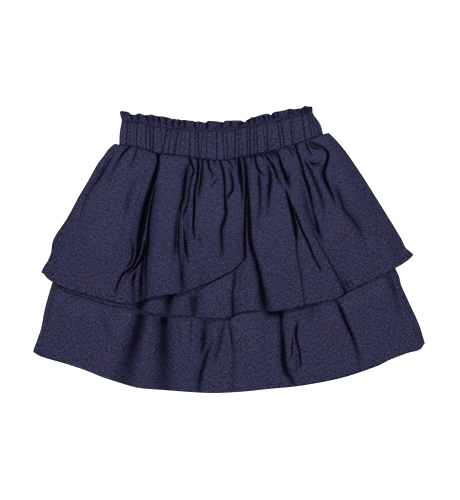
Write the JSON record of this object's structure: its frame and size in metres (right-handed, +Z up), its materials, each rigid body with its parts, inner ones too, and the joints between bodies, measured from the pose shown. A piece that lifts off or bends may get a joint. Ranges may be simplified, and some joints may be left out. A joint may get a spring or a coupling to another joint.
{
  "type": "rara skirt",
  "caption": "Girl's tiered skirt laid flat: gathered elastic waistband with a frilled heading, a lapped top tier and a longer lower tier.",
  "frame": {"origin": "on the surface the skirt lies on, under the middle of its outline", "axes": "+Z up from that surface, +Y towards the waist, +X to the right as seen from above with the front facing up"},
  "size_m": [0.49, 0.358, 0.0166],
  "materials": {
    "chambray": "navy chambray with a fine slubbed weave, soft dull sheen",
    "waistband": "the same navy chambray, gathered over elastic"
  },
  "bodies": {
    "root": {"waistband_front": "waistband", "waistband_back": "waistband", "flap_over": "chambray", "flap_under": "chambray", "tier_back": "chambray", "lower_front": "chambray", "lower_back": "chambray"}
  },
  "joints": []
}
